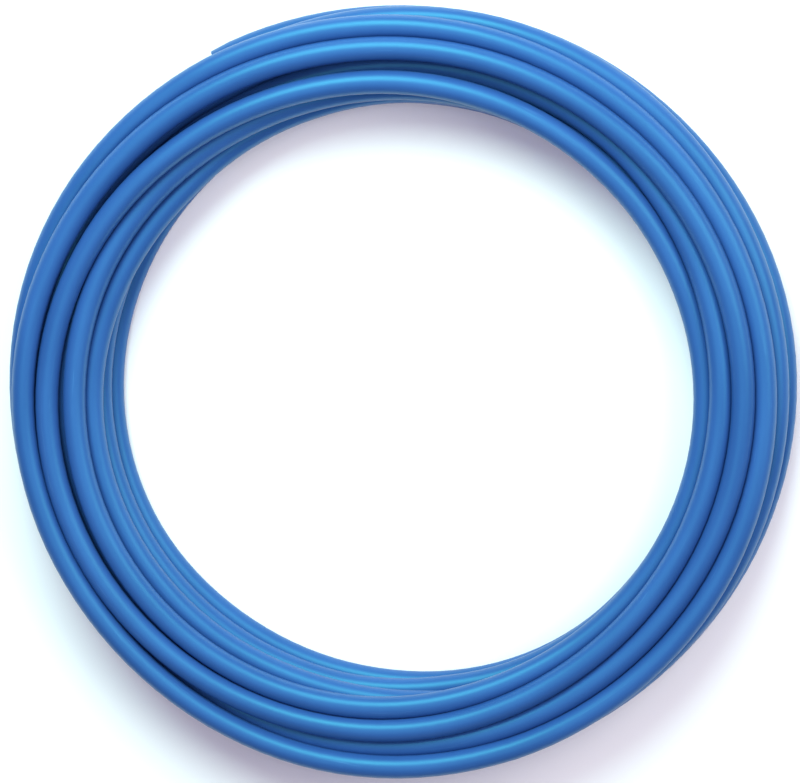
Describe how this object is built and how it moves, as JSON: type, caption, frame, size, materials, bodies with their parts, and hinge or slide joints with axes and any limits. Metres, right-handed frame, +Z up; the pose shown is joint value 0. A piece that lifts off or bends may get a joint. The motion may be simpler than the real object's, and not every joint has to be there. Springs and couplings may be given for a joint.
{
  "type": "coil of pex pipe",
  "caption": "Blue cross-linked polyethylene water pipe, one length wound in nested rows into a flat ring-shaped coil.",
  "frame": {"origin": "on the axis of the coil's two lower rows, on the floor it lies on", "axes": "+Z up along the coil's axis; +X and +Y in the plane of the turns, which run anticlockwise seen from +Z"},
  "size_m": [0.7611, 0.7573, 0.085],
  "materials": {
    "pipe": "satin"
  },
  "bodies": {
    "root": {"coiled_pipe": "pipe"}
  },
  "joints": []
}
